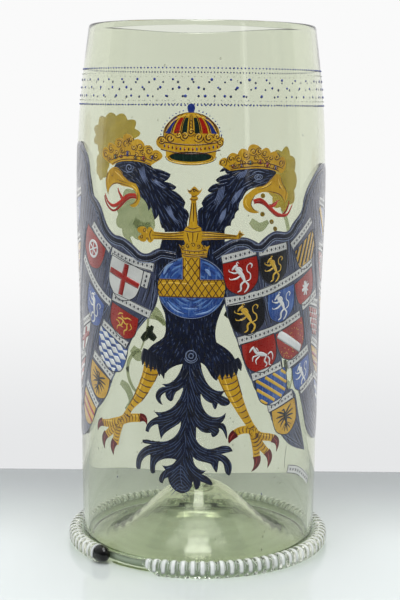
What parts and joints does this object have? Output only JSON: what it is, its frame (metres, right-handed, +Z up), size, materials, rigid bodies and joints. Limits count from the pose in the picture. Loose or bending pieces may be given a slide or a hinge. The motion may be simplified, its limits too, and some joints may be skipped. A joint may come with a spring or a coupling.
{
  "type": "humpen",
  "caption": "Tall cylindrical enamelled glass drinking vessel with a kicked base, a crimped foot trail and a painted double-headed eagle with shields.",
  "frame": {"origin": "on the vessel's axis, on the plane that it stands on", "axes": "+Z up along the vessel's axis, -Y is the front with the eagle's breast, +X to the viewer's right"},
  "size_m": [0.1436, 0.1436, 0.28],
  "materials": {
    "glass": "pale grey-green blown glass with seeds and fine bubbles, fire polished",
    "trail_glass": "colourless to grey glass thread, crimped while hot",
    "enamel_blue": "fired glass enamel, cobalt blue, glossy",
    "enamel_night": "fired glass enamel, blue black with paler brush lines, glossy",
    "enamel_wing": "fired glass enamel, grey blue with dark hatching",
    "enamel_gold": "fired glass enamel, ochre yellow with brown drawing",
    "enamel_red": "fired glass enamel, iron red",
    "enamel_dark_red": "fired glass enamel, dark red",
    "enamel_white": "fired glass enamel, opaque white",
    "enamel_black": "fired glass enamel, black",
    "enamel_green": "fired glass enamel, dark green",
    "enamel_olive": "fired glass enamel, olive, thin",
    "enamel_sage": "fired glass enamel, grey green, thin"
  },
  "bodies": {
    "root": {"beak_left": "enamel_gold", "beak_right": "enamel_gold", "breast": "enamel_night", "claws_left": "enamel_dark_red", "claws_right": "enamel_dark_red", "cross": "enamel_gold", "crown_of_left_head": "enamel_gold", "crown_of_right_head": "enamel_gold", "foot_trail": "trail_glass", "great_crown": "enamel_gold", "great_crown_caps_blue": "enamel_blue", "great_crown_caps_green": "enamel_green", "great_crown_caps_red": "enamel_red", "great_crown_finial": "enamel_blue", "great_crown_halo": "enamel_blue", "great_crown_opening": "enamel_green", "head_left": "enamel_night", "head_right": "enamel_night", "leg_left": "enamel_gold", "leg_right": "enamel_gold", "orb": "enamel_blue", "orb_band": "enamel_gold", "pontil_scar": "glass", "reverse_berries": "enamel_gold", "reverse_boughs_grey": "enamel_sage", "reverse_boughs_olive": "enamel_olive", "reverse_stems": "enamel_sage", "ribbons_flanks": "enamel_white", "ribbons_left": "enamel_white", "ribbons_right": "enamel_white", "rim_dots_blue": "enamel_blue", "rim_dots_large": "enamel_blue", "rim_dots_white": "enamel_white", "shields_black": "enamel_black", "shields_blue": "enamel_blue", "shields_gold": "enamel_gold", "shields_red": "enamel_red", "shields_white": "enamel_white", "tail": "enamel_night", "tongue_left": "enamel_red", "tongue_right": "enamel_red", "vessel_body": "glass", "wing_left": "enamel_wing", "wing_right": "enamel_wing"}
  },
  "joints": []
}
